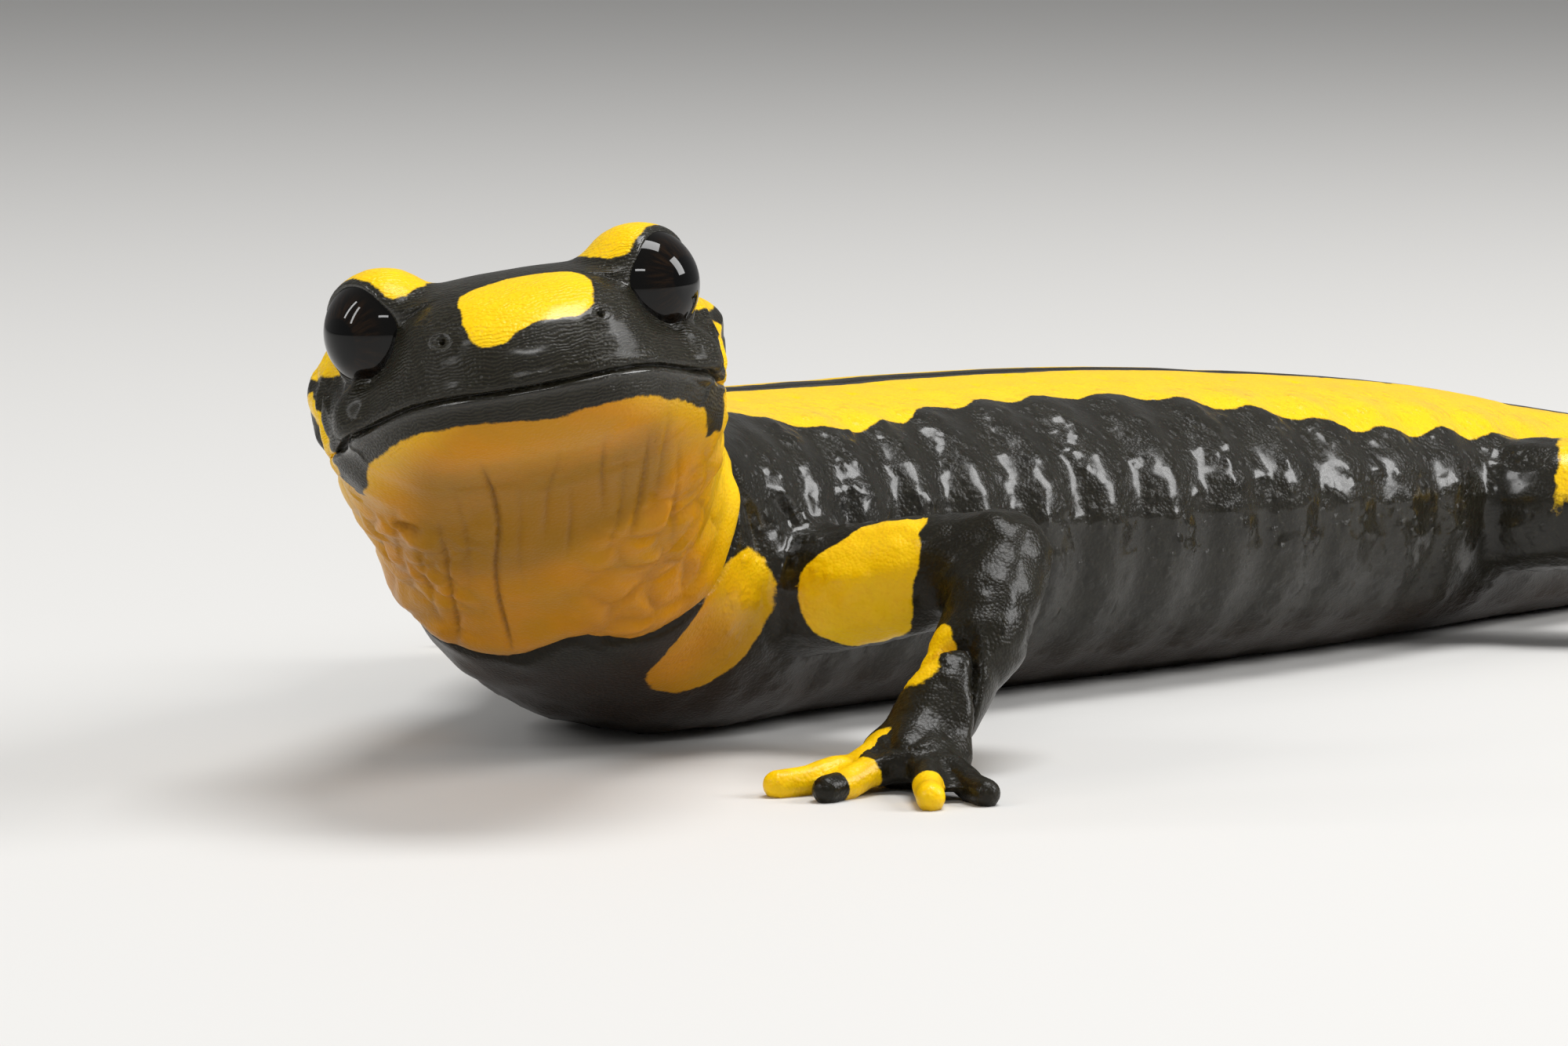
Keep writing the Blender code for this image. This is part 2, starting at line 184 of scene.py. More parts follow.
def smooth(chosen, rounds):
    """Smooths the chosen points of the skin."""
    group = skin.vertex_groups.new(name="chosen")
    group.add(np.nonzero(chosen)[0].tolist(), 1, "REPLACE")
    soften = skin.modifiers.new("soften", "SMOOTH")
    soften.vertex_group = "chosen"
    soften.factor = 0.5
    soften.iterations = rounds
    apply_modifiers(skin)
    skin.vertex_groups.clear()


def refine(wanted):
    """Splits every face among the wanted points in four, and smooths what is new."""
    bm = bmesh.new()
    bm.from_mesh(skin.data)
    bm.verts.ensure_lookup_table()
    chosen = wanted(in_head(read_points()))
    edges = [e for e in bm.edges if chosen[e.verts[0].index] and chosen[e.verts[1].index]]
    bmesh.ops.subdivide_edges(bm, edges=edges, cuts=1, use_grid_fill=True)
    bm.to_mesh(skin.data)
    bm.free()
    smooth(wanted(in_head(read_points())), 5)


# The line where the lips meet: how far back from the snout tip, and how high there.
lips_at = ((0, 0), (1.2, 0.25), (2.7, 0.35), (4.7, 0.2), (8, -0.15), (12, -0.35), (28, -0.6))


def lip_height(head):
    """How high each point of the head is above the line where the lips meet."""
    places, heights = zip(*lips_at)
    return head[:, 2] - through(places, heights, np.clip(-head[:, 0], 0, places[-1]))


def far_from(head, place, size=(1, 1, 1)):
    """How far each point of the head is from a place on its left, or from the same place on its right."""
    folded = head * (1, 0, 1) + np.abs(head) * (0, 1, 0)
    return np.linalg.norm((folded - np.array(place)) / size, axis=1)


# The head is split finer than the body, and the eyes, lips and nostrils finer still.
head_ends, mouth_ends = -23, -14
by_nostril = (-1.8, 4.1, 3.6)
refine(lambda head: head[:, 0] > head_ends)
refine(
    lambda head: (far_from(head, eye_centre) < 4.8)
    | ((np.abs(lip_height(head)) < 1.2) & (head[:, 0] > mouth_ends))
    | (far_from(head, by_nostril) < 1.6)
)


def beyond_lids(way):
    """How far outside the opening of the lids a direction from the eye's middle is, along the ball."""
    open_angle, front_corner, back_corner, flat_below = 56, 7.5, 4, 1.5
    lean = np.arccos(np.clip(way @ np.array(eye_outward), -1, 1))
    ahead = eye_outward.cross(UP).normalized()
    round_at = np.arctan2(way @ np.array(ahead.cross(eye_outward)), way @ np.array(ahead))
    corners = front_corner * bell(round_at, 0.42) + back_corner * bell(np.abs(round_at) - np.pi, 0.5)
    opening = np.radians(open_angle + corners - flat_below * bell(round_at + 0.85, 0.35))
    return (lean - opening) * eye_radius


def from_eye(head, side):
    """The way from the middle of one eye to each point, as on the left, and how far it is."""
    offset = head * (1, side, 1) - np.array(eye_centre)
    reach = np.linalg.norm(offset, axis=1)
    return offset / reach[:, None], reach


def push(amounts):
    """Moves every point of the skin out along its normal by its own amount."""
    write_points(read_points() + read_normals() * amounts[:, None])


# The hollow of the cheek in front of each eye.
hollow_depth, hollow_at, hollow_size = 0.85, (-4.5, 7.2, 3.2), (1, 1, 0.85)
head = in_head(read_points())
push(-hollow_depth * bell(far_from(head, hollow_at, hollow_size), 1.8))

# The eyelids: outside a round opening the skin lies on the ball, at the opening it dips under it. The skin
# is drawn to the ball in full near the eye and fades out to where the lids end.
tucked, lid_top, lid_floor, lid_thick = 2.5, 0.72, 2.7, 0.42
upper_slope, lower_slope = 1.3, 1.1
lids_full, lids_end = 4.6, 5.3
head = in_head(read_points())
for side in (1, -1):
    way, reach = from_eye(head, side)
    beyond = beyond_lids(way)
    below = smooth_step(0.0, -0.45, way[:, 2])
    slope = (upper_slope - lower_slope * below) * np.clip(beyond - 0.3, 0, 9) ** 1.1
    most = tucked + lid_top * smooth_step(-0.1, 0.32, beyond) + slope
    least = np.where(beyond > 0, lid_floor + lid_thick * smooth_step(0.0, 0.3, beyond), 0)
    new_reach = np.clip(reach, least, np.maximum(most, least))
    share = smooth_step(lids_end, lids_full, reach)
    new_offset = way * (reach + (new_reach - reach) * share)[:, None]
    head = np.where(share[:, None] > 0, (new_offset + np.array(eye_centre)) * (1, side, 1), head)
from_head = np.array(head_frame)
write_points(head @ from_head[:3, :3].T + from_head[:3, 3])
reach = far_from(head, eye_centre)
smooth((reach > 3.45) & (reach < 6.2), 8)

# The full cheek below and behind each eye, and the roll and furrow of the lower lid.
lid_roll, lid_furrow = 0.08, 0.16
cheek_rise, cheek_at, cheek_size = 0.5, (-7.9, 9.0, 1.1), (1.3, 1, 0.9)
points = read_points()
head = in_head(points)
swell = np.zeros(len(points))
for side in (1, -1):
    way, reach = from_eye(head, side)
    beyond = beyond_lids(way)
    lower = smooth_step(0.3, -0.5, way[:, 2]) * (reach < 5.2)
    swell += lower * (lid_roll * bell(beyond - 0.3, 0.18) - lid_furrow * bell(beyond - 0.85, 0.22))
    swell += cheek_rise * bell(np.linalg.norm((head * (1, side, 1) - cheek_at) / cheek_size, axis=1), 1.3)
push(swell)


def from_line(places, line):
    """Each place's distance from a line of places, and how far along it, from 0 to 1, that is."""
    line = np.asarray(line, float)
    steps = np.linalg.norm(np.diff(line, axis=0), axis=1)
    before = np.concatenate(((0,), np.cumsum(steps)))
    nearest = np.full(len(places), 99.0)
    along = np.zeros(len(places))
    for a, b, step, start in zip(line, line[1:], steps, before):
        t = np.clip((places - a) @ (b - a) / step**2, 0, 1)
        distance = np.linalg.norm(places - a - t[:, None] * (b - a), axis=1)
        along = np.where(distance < nearest, (start + t * step) / before[-1], along)
        nearest = np.minimum(distance, nearest)
    return nearest, along


def crease(places, line, depth, width, rim=0.25):
    """A fold along a line: deepest at the middle, with a slight rim to each side."""
    distance, along = from_line(places, line)
    fade = np.clip(np.minimum(along, 1 - along) * 6, 0, 1) ** 0.7
    return -depth * fade * (bell(distance, width) - rim * bell(distance - 1.9 * width, width))


def grain(places, size, seed=0.0):
    """Soft noise between about -1 and 1, with lumps of one size."""
    shift = Vector((seed, 1.7 * seed, 0.3 * seed))
    return np.array([noise.noise(Vector(place) / size + shift) for place in places.tolist()]) * 1.6


def domes(places, size, seed=0.0):
    """Round bumps, 1 at the top of each and 0 on the flat between them."""
    shift = Vector((seed, 1.7 * seed, 0.3 * seed))
    found = [noise.voronoi(Vector(place) / size + shift)[0][0] for place in places.tolist()]
    return np.clip(1 - (np.array(found) / 0.46) ** 2, 0, 1) ** 1.5


def cells(places, size, seed=0.0):
    """Rounded lumps, 1 at the middle of each and 0 in the furrows between them."""
    shift = Vector((seed, 1.7 * seed, 0.3 * seed))
    found = [noise.voronoi(Vector(place) / size + shift)[0] for place in places.tolist()]
    return smooth_step(-0.15, 0.75, np.array([far[1] - far[0] for far in found]))


# The body's own measures: its spine from snout to tail tip, and the line of every limb and digit.
body_length, spine_step = 197, 0.5
spine_at = (0, 8, 14, 22, 30, 38, 48, 60, 74, 88, 99, 109, 119, 134, 150, 166, 182, body_length)
spine_places = [tuple(head_frame @ Vector((-back, 0, 1.2))) for back in (0, 8, 14)] + [
    (-44.1, -11.3, 16.7), (-38.5, -6.6, 13.0), (-31.6, -3.3, 10.7), (-22, -1, 9.7), (-10, 0, 9.3),
    (4, 0, 9.1), (18, -0.5, 8.7), (29, -0.9, 8.0), (39, -1, 6.8), (49, -0.5, 5.8), (63.8, 1.8, 4.8),
    (79, 6.8, 4.1), (93.1, 14.3, 3.3), (105.9, 23.9, 2.3), (117.1, 33.9, 1.2),
]
spine_s = np.arange(0, body_length, spine_step)
spine_centre = through(spine_at, spine_places, spine_s)
spine_ahead = through(spine_at, spine_places, np.clip(spine_s - spine_step, 0, body_length))
spine_behind = through(spine_at, spine_places, np.clip(spine_s + spine_step, 0, body_length))
spine_forward = spine_ahead - spine_behind
spine_forward /= np.linalg.norm(spine_forward, axis=1)[:, None]
spine_left = np.cross((0, 0, 1), spine_forward)
spine_left /= np.linalg.norm(spine_left, axis=1)[:, None]
spine_up = np.cross(spine_forward, spine_left)
spine_roll = head_lean * (1 - np.clip(spine_s / 34, 0, 1) ** 2)[:, None]
spine_left, spine_up = (
    spine_left * np.cos(spine_roll) + spine_up * np.sin(spine_roll),
    spine_up * np.cos(spine_roll) - spine_left * np.sin(spine_roll),
)


def on_body(places):
    """Distance from the snout along the spine, angle from the top of the back, and reach from the spine."""
    nearest = np.concatenate([
        np.argmin((spine_centre**2).sum(1) - 2 * part @ spine_centre.T, axis=1)
        for part in np.array_split(places, 40)
    ])
    offset = places - spine_centre[nearest]
    s = spine_s[nearest] - (offset * spine_forward[nearest]).sum(1)
    left = (offset * spine_left[nearest]).sum(1)
    up = (offset * spine_up[nearest]).sum(1)
    return s, np.degrees(np.arctan2(left, up)), np.hypot(left, up)


# Each limb: its line from the body to the palm, the heading of the hand or foot in degrees, the lean of
# each digit from that heading, and the digits' lengths.
limbs = {
    "foreleg_left": (
        ((-28.6, -7.0, 7.4), (-25.8, -16.6, 8.9), (-22.1, -22.9, 10.6), (-25.4, -25.1, 7.2),
         (-29.2, -26.2, 3.6), (-32.1, -27.4, 1.6)),
        -150, (-42, -21, 22, 46), (4.9, 4.1, 4.6, 3.8)),
    "foreleg_right": (
        ((-31.6, 4.0, 8.6), (-25.4, 10.8, 9.4), (-18.8, 15.8, 9.6), (-18.0, 18.8, 5.8),
         (-16.8, 21.0, 2.9), (-15.2, 22.8, 1.5)),
        72, (-50, -16, 16, 50), (3.4, 4.6, 4.8, 3.8)),
    "hindleg_left": (
        ((30.0, -4.8, 7.4), (33.6, -12.4, 8.2), (37.6, -18.8, 7.6), (40.6, -21.8, 5.0),
         (43.2, -24.6, 2.8), (43.6, -28.2, 1.5)),
        -92, (62, 32, 2, -26, -56), (2.8, 4.4, 5.6, 5.2, 3.4)),
    "hindleg_right": (
        ((30.0, 3.4, 7.4), (26.2, 11.0, 8.4), (21.6, 17.4, 7.8), (23.8, 20.8, 5.0),
         (25.8, 23.4, 2.8), (24.8, 27.0, 1.5)),
        118, (-62, -32, -2, 26, 56), (2.8, 4.4, 5.6, 5.2, 3.4)),
}


def digit_line(limb, number):
    """The line of one digit, from the palm to its tip."""
    joints, heading, spread, lengths = limb
    palm, palm_radius = Vector(joints[-1]), 1.33 * len(lengths) ** 0.5
    lean, turn = math.radians(spread[number]), math.radians(heading)
    way = Vector((math.cos(turn), math.sin(turn), 0))
    across = Vector((-math.sin(turn), math.cos(turn), 0))
    base = palm + (way * 0.35 * math.cos(lean) + across * 0.75 * math.sin(lean)) * palm_radius
    reach = Vector((math.cos(turn + lean), math.sin(turn + lean), 0))
    reach = reach * (lengths[number] + 0.55 * palm_radius)
    arch = ((0, 1.5), (0.35, 1.25), (0.7, 0.72), (1, 0.62))
    return [base + reach * share + UP * (height - base.z) for share, height in arch]


# The mouth: a deep line under an upper lip that hangs over it a little.
mouth_depth, lip_roll, overhang = 0.34, 0.14, 0.12
points = read_points()
head = in_head(points)
above_lips = lip_height(head)
mouth = smooth_step(-13.2, -11.8, head[:, 0]) * (head[:, 2] < 3)
lip_push = -mouth_depth * bell(above_lips, 0.12) + lip_roll * bell(above_lips - 0.4, 0.3) \
    + lip_roll * bell(above_lips + 0.36, 0.2)
points = points + read_normals() * (lip_push * mouth)[:, None]
points[:, 2] -= overhang * bell(above_lips - 0.25, 0.22) * mouth
write_points(points)

# The nostrils: a small hole in a low oval rim, on each side of the snout.
rim_height, nostril_depth = 0.07, 0.42
rim_width, rim_tall = 0.85, 1.15
points = read_points()
head = in_head(points)
swell = np.zeros(len(points))
for side in (1, -1):
    offset = head - np.array((-1.62, 4.0 * side, 3.1))
    across = offset @ np.array((0.5, 0.86 * side, 0))
    reach = np.sqrt((across / rim_width) ** 2 + (offset[:, 2] / rim_tall) ** 2
                    + (0.5 * np.linalg.norm(offset, axis=1)) ** 2)
    swell += rim_height * bell(reach - 0.5, 0.22) - 0.03 * bell(reach - 0.95, 0.25)
    hole = offset - np.array((0.06, -0.05 * side, 0.02))
    swell -= nostril_depth * bell(np.linalg.norm(hole * (1, 1.3, 0.95), axis=1), 0.15)
push(swell)

# The sides of the head: the parotoid glands with their pores, and the folds below and behind the eye.
gland_rise, gland_at, gland_size = 0.38, (-15.5, 8.6, 3.4), (3.6, 3.4, 2.6)
pore_depth, pore_size = 0.16, 0.24
pores = (
    (-13.2, 9.4, 4.4), (-14.6, 9.6, 3.2), (-15.4, 8.3, 5.6), (-16.3, 9.6, 4.1),
    (-17.2, 8.4, 5.3), (-18.2, 9.3, 3.2), (-16.8, 9.9, 2.2), (-19.0, 8.2, 4.4),
)
head_folds = (
    (((-11.6, 9.2, 4.0), (-12.2, 9.9, 2.8), (-12.4, 10.2, 1.4), (-11.9, 9.9, 0.2)), 0.3, 0.35),
    (((-12.4, 9.6, -0.5), (-13.2, 9.4, -1.7), (-13.2, 9.1, -3.0)), 0.28, 0.25),
    (((-4.9, 6.2, 2.9), (-7.0, 7.9, 2.2), (-9.6, 8.9, 2.2), (-11.0, 9.2, 3.2)), 0.16, 0.4),
)
points = read_points()
head = in_head(points)
swell = np.zeros(len(points))
for side in (1, -1):
    face = head * (1, side, 1)
    swell += gland_rise * bell(np.linalg.norm((face - gland_at) / gland_size, axis=1), 0.8)
    for pore in pores:
        swell -= pore_depth * bell(np.linalg.norm(face - pore, axis=1), pore_size)
    for line, depth, width in head_folds:
        swell += crease(face, line, depth, width)
push(swell)


def loose_lumps(places):
    """The soft lumps of the loose skin at the sides of the throat."""
    shifted = places * (1, 1, 0.8)
    shifted = shifted + 0.45 * grain(places, 1.9, 2.0)[:, None]
    return cells(shifted, 2.4, 4.0)


# Each fine wrinkle of the throat: how far left of its middle, where it starts and ends behind the snout,
# and how deep it is against the deepest.
throat_wrinkles = (
    (-7.4, 11, 20, 0.35), (-6.4, 14, 25, 0.4), (-5.2, 12, 26, 0.75), (-4.1, 7, 18, 0.3), (-2.5, 5, 25, 1.0),
    (-1.2, 9, 19, 0.3), (0.3, 5, 14, 0.45), (1.5, 10, 17, 0.5), (2.9, 4, 12, 0.6), (3.9, 7, 17, 0.4),
    (5.0, 6, 15, 0.7), (6.0, 5, 13, 0.4), (7.1, 9, 20, 0.4),
)


def throat_lines(s, left):
    """The fine upright wrinkles of the throat, each 0 to 1 deep."""
    lines = np.zeros(len(s))
    for at, first, last, depth in throat_wrinkles:
        sway = at + 0.16 * np.sin(s * 0.35 + at) + 0.05 * (s - 12) * np.sign(-at)
        fade = smooth_step(first - 2, first + 4, s) * smooth_step(last + 2, last - 2, s)
        lines += depth * fade * (bell(left - sway, 0.11) - 0.2 * bell(np.abs(left - sway) - 0.4, 0.25))
    return lines


def on_underside(angle):
    """1 on the underside of the throat and 0 on its sides."""
    return smooth_step(95, 125, np.abs(angle))


def throat_fold(left):
    """How far behind the snout the fold that ends the throat lies, across the throat."""
    return (27.2 + 1.1 * smooth_step(3, 9, left) - 1.8 * bell(left - 1.5, 2.2)
            + 2.2 * smooth_step(7, 10, np.abs(left)))


def loose_skin(s, left):
    """Where the skin of the throat hangs loose: at its sides, but not along its middle."""
    beside_middle = smooth_step(0.5, 5, np.abs(left + 0.2 * (s - 18)))
    return smooth_step(9, 15, s) * smooth_step(28.5, 25, s) * beside_middle


# The throat: its flat middle, the fold that ends it, wrinkles, loose lumps, one deep dimple, and the long
# folds of the neck behind it.
middle_flat, fold_depth, fold_roll, wrinkle_depth, lump_height, sag = 0.5, 0.75, 0.45, 0.22, 0.42, 0.14
dimple_depth, dimple_at = 0.5, (13.5, -6.9)
neck_folds = (
    (((-37.7, -19.3, 14.6), (-38.8, -19.0, 12.4), (-38.6, -17.9, 10.2)), 0.25, 0.4),
    (((-33.4, -14.4, 15.5), (-31.9, -14.3, 13.0), (-31.2, -14.4, 10.0)), 0.35, 0.5),
    (((-30.3, -13.9, 14.0), (-28.6, -13.6, 12.4), (-29.6, -13.9, 9.5), (-29.7, -13.6, 6.5)), 0.35, 0.5),
)
points = read_points()
s, angle, reach = on_body(points)
left = reach * np.sin(np.radians(angle))
under = on_underside(angle)
swell = -middle_flat * bell(left - 0.5, 4.2) * smooth_step(6, 11, s) * smooth_step(24, 18, s) * under
behind_fold = s - throat_fold(left)
around = smooth_step(70, 95, np.abs(angle))
swell += around * (-fold_depth * bell(behind_fold, 0.42) + fold_roll * bell(behind_fold + 1.6, 1.3))
swell -= wrinkle_depth * under * throat_lines(s, left)
lumpy = np.nonzero((s > 8) & (s < 44) & (np.abs(angle) > 60))[0]
shape = np.zeros(len(points))
shape[lumpy] = loose_lumps(points[lumpy]) - 0.5
swell += lump_height * loose_skin(s, left) * shape
swell -= dimple_depth * bell(np.hypot(s - dimple_at[0], left - dimple_at[1]), 0.55)
shape[lumpy] = grain(points[lumpy], 2.6, 9.0)
swell += sag * shape * smooth_step(60, 90, np.abs(angle))
for line, depth, width in neck_folds:
    swell += crease(points, line, depth, width)
push(swell)


def near_limbs(places):
    """How far each place is from the nearest limb, up to 9."""
    nearest = np.full(len(places), 9.0)
    for limb in limbs.values():
        nearest = np.minimum(nearest, from_line(places, limb[0][1:])[0])
    return nearest


rib_spacing = 5.0


def costal_wave(s):
    """1 in each costal groove of the trunk, and -1 on the swelling between two."""
    return np.cos(2 * np.pi * (s - 43) / rib_spacing)


# The trunk and tail: costal grooves, warts along the flanks, a row of gland openings along each side of
# the back, the vent, and the tail's rings.
rib_count, groove_depth = 13, 0.13
wart_height, small_wart_height = 0.15, 0.06
opening_rows, opening_depth, opening_size = (2.5, 4.7), 0.15, 0.26
vent_at, vent_rise, vent_depth = 108.5, 0.25, 0.35
ring_spacing, ring_depth = 3.3, 0.09
points = read_points()
s, angle, reach = on_body(points)
near_limb = near_limbs(points)
bare = smooth_step(3.2, 4.6, near_limb)
around = np.radians(angle) * 10.5
trunk = smooth_step(33, 40, s) * smooth_step(110, 101, s)
side = smooth_step(34, 58, np.abs(angle)) * smooth_step(150, 118, np.abs(angle))
swell = -groove_depth * costal_wave(s) * side * trunk * bare
patch = np.nonzero((s > 28) & (s < 196) & (np.abs(angle) > 24))[0]
field = np.stack((s, around, np.zeros(len(s))), axis=1)
warts = np.zeros(len(points))
warts[patch] = domes(field[patch], 1.3, 2.0) - 0.1
swell += wart_height * warts * smooth_step(30, 36, s) * smooth_step(112, 100, s) \
    * smooth_step(36, 56, np.abs(angle)) * smooth_step(146, 120, np.abs(angle)) * bare
warts[patch] = domes(field[patch], 0.9, 6.0) - 0.1
swell += small_wart_height * warts * smooth_step(30, 36, s) * smooth_step(40, 56, np.abs(angle)) * bare
for side in (1, -1):
    for number in range(rib_count):
        at = 41 + rib_spacing * number
        swell += 0.1 * bell(s - at - 4.5, 1.6) * bell(around - side * 8.8, 1.6) * trunk
        for row in opening_rows:
            opening = np.hypot(s - at - 0.4 * row, around - side * row)
            swell -= opening_depth * bell(opening, opening_size) * trunk
swell -= 0.35 * bell(around, 0.35) * smooth_step(40, 48, s) * smooth_step(120, 100, s) * 0.5
vent = np.hypot((s - vent_at) / 2.6, reach * np.sin(np.radians(angle)) / 1.1)
swell += (vent_rise * bell(vent - 0.9, 0.5) - vent_depth * bell(vent, 0.3)) * (np.abs(angle) > 120)
ring = np.cos(2 * np.pi * (s - 110) / ring_spacing)
swell -= ring_depth * np.clip(ring, 0, 1) ** 2 * smooth_step(110, 116, s) * smooth_step(192, 180, s) \
    * smooth_step(15, 50, np.abs(angle))
push(swell)

# The limbs' loose skin: folds across the elbow, knee and wrist, and soft lumps above them.
limb_folds = ((0.36, 0.05), (0.43, 0.06), (0.5, 0.07), (0.59, 0.06), (0.68, 0.05), (0.8, 0.06))
limb_lumps = 0.15
points = read_points()
swell = np.zeros(len(points))
upper_skin = np.nonzero(near_limb < 4.4)[0]
for limb in limbs.values():
    distance, along = from_line(points, limb[0])
    near = smooth_step(4.6, 3.6, distance)
    for at, depth in limb_folds:
        swell -= depth * bell(along - at, 0.013) * near
folds = np.zeros(len(points))
folds[upper_skin] = cells(points[upper_skin], 1.7, 3.0) - 0.5
swell += limb_lumps * folds * smooth_step(4.4, 3.4, near_limb) * smooth_step(3.5, 6, points[:, 2])
push(swell)


def on_line(line, along):
    """The places at the given shares of a line's length."""
    line = np.asarray(line, float)
    before = np.concatenate(((0,), np.cumsum(np.linalg.norm(np.diff(line, axis=0), axis=1))))
    return np.stack([np.interp(along * before[-1], before, line[:, axis]) for axis in range(3)], axis=1)


# The digits are made round and plump along their lines, with a joint and a blunt tip.
points = read_points()
for limb in limbs.values():
    lines = [digit_line(limb, number) for number in range(len(limb[3]))]
    found = [from_line(points, line) for line in lines]
    closest = np.argmin([distance for distance, along in found], axis=0)
    for number, (line, (distance, along)) in enumerate(zip(lines, found)):
        mine = (closest == number) & (distance < 1.5)
        foot = on_line(line, along)
        plump = 0.84 - 0.12 * along + 0.05 * bell(along - 0.6, 0.12) + 0.03 * bell(along - 1, 0.15)
        share = np.where(mine, smooth_step(0.3, 0.5, along), 0)[:, None]
        spoke = (points - foot) / np.maximum(distance, 0.05)[:, None]
        points = points + share * (foot + spoke * plump[:, None] - points)
write_points(points)

# The skin is thinned, and rests on small flats at the floor.
skin_triangles, flat_height = 197000, 0.1
thin = skin.modifiers.new("thin", "DECIMATE")
skin.data.calc_loop_triangles()
thin.ratio = skin_triangles / len(skin.data.loop_triangles)
apply_modifiers(skin)
points = read_points()
points[:, 2] = np.where(points[:, 2] < flat_height, 0, points[:, 2])
write_points(points)
skin.data.shade_smooth()

# A marking's distance where there is none of it: far outside its edge.
FAR_OUT = -99.0


def dab(places, stroke):
    """How far inside a brush stroke each place is. A stroke is places, each with the brush's radius."""
    inside = np.full(len(places), FAR_OUT)
    for (*a, a_size), (*b, b_size) in zip(stroke, stroke[1:]):
        a, b = np.array(a), np.array(b)
        t = np.clip((places - a) @ (b - a) / ((b - a) @ (b - a)), 0, 1)
        off_stroke = np.linalg.norm(places - a - t[:, None] * (b - a), axis=1)
        inside = np.maximum(inside, a_size + t * (b_size - a_size) - off_stroke)
    return inside


def both(a, b, corner=1.0):
    """How far inside two edges at once, with the corner where they meet rounded."""
    share = np.clip(0.5 + 0.5 * (b - a) / corner, 0, 1)
    return b * (1 - share) + a * share - corner * share * (1 - share)


# The markings, each kept at every point of the skin as a distance in millimetres from the edge of its
# colour. On the head they are a patch on the snout, one on each upper lid, and two on each gland.
black_rim, lid_patch_low, lid_patch_reach = 0.55, 6.15, 3.9
snout_patch = (
    ((-0.9, 6.9, 1.85), (0.5, 7.4, 2.0), (2.0, 7.4, 1.85), (1.9, 5.6, 1.9), (0.5, 5.6, 1.8),
     (-0.9, 4.9, 1.85)),
    ((-0.9, 6.9, 1.85), (-0.9, 4.9, 1.85), (-1.4, 3.8, 1.25)),
)
gland_patches = (
    ((-11.0, 8.9, 4.4, 1.0), (-13.5, 9.2, 4.9, 1.5), (-18.5, 8.4, 5.0, 2.3), (-23.0, 6.6, 5.6, 2.2)),
    ((-14.2, 10.6, 2.2, 1.0), (-13.4, 10.4, 1.0, 1.3), (-12.2, 9.8, -0.4, 1.0)),
)
points = read_points()
head = in_head(points)
s, angle, reach = on_body(points)
above_lips = lip_height(head)
yellow = np.full(len(points), FAR_OUT)
snout_chart = np.stack((head[:, 1], head[:, 2] - 0.7 * head[:, 0]), axis=1)
for stroke in snout_patch:
    yellow = np.maximum(yellow, np.where(above_lips > 1.5, dab(snout_chart, stroke), FAR_OUT))
for side in (1, -1):
    face = head * (1, side, 1)
    way, eye_reach = from_eye(head, side)
    lid = face[:, 2] - lid_patch_low + 0.5 * np.clip(face[:, 1] - 5.1, -2.5, 0) \
        + 0.15 * np.clip(face[:, 0] + 9, -3, 0)
    lid = np.minimum(lid, lid_patch_reach - eye_reach)
    yellow = np.maximum(yellow, np.minimum(lid, beyond_lids(way) - black_rim))
    for stroke in gland_patches:
        yellow = np.maximum(yellow, dab(face, stroke))

# Chin and throat: yellow from below the dark lower lip to the fold of the throat.
lip_edge = -1.55 - 0.3 * bell(head[:, 1] - 0.6, 1.6) - 0.8 * smooth_step(-8, -11, head[:, 0])
lip_edge += 0.25 * bell(head[:, 1] + 6.5, 2.5)
behind_corner = smooth_step(-11.9, -12.7, head[:, 0])
chin = lip_edge * (1 - behind_corner) + 0.3 * behind_corner - above_lips
left = reach * np.sin(np.radians(angle))
throat_end = (throat_fold(left) - 0.35 - s) * 0.9
throat_side = (np.abs(angle) - 88 + 14 * smooth_step(18, 26, s)) * np.pi / 180 * 9
throat = both(both(chin, throat_end), np.where(s > 12.5, throat_side, -FAR_OUT))
throat = np.where(reach < 12.5, throat, FAR_OUT)
for black_strip in (
    ((-11.9, 9.6, -0.4, 0.5), (-11.4, 9.2, -1.8, 0.45), (-11.1, 8.7, -2.7, 0.25)),
    ((-12.0, -9.8, -0.4, 0.5), (-11.4, -9.3, -1.8, 0.45), (-11.3, -9.0, -3.0, 0.25)),
):
    throat = np.minimum(throat, -dab(head, black_strip))
yellow = np.maximum(yellow, throat)

# The chest patch on the left, its smaller fellow on the right, and the stripes of the back and tail, each
# between an upper and a lower edge in degrees from the top of the back, with gaps on the tail.
chest_patches = (((32.6, 21.6), (3.0, 4.9), -0.25), ((33.0, -21.6), (2.4, 3.6), 0.3))
stripe_starts = 20
left_gaps, right_gaps = ((121.5, 1.3), (147, 1.0), (171, 1.6)), ((129.5, 1.1), (158, 1.4))
field = np.stack((s, np.radians(angle) * 10.0), axis=1)
for middle, size, turn in chest_patches:
    offset = field - middle
    x = offset[:, 0] * math.cos(turn) - offset[:, 1] * math.sin(turn)
    y = offset[:, 0] * math.sin(turn) + offset[:, 1] * math.cos(turn)
    blob = (1 - np.sqrt((x / size[0]) ** 2 + (y / size[1]) ** 2)) * size[0]
    yellow = np.maximum(yellow, np.where(reach < 14, blob, FAR_OUT))
stripe_noise = grain(np.stack((s, angle / 6, np.zeros(len(s))), axis=1), 3.0, 5.0)
on_trunk = smooth_step(44, 52, s) * smooth_step(104, 96, s)
on_stripe = np.clip(s, stripe_starts, body_length)
lower = through((stripe_starts, 30, 38, 42, 47, 52, 57, 72, 80, 88, 98, 110, 125, 150, 175, body_length),
                (66, 54, 41, 46, 52, 48, 43, 44, 52, 60, 60, 56, 52, 50, 48, 50), on_stripe)
lower = lower + 1.6 * costal_wave(s) * on_trunk + 1.2 * stripe_noise
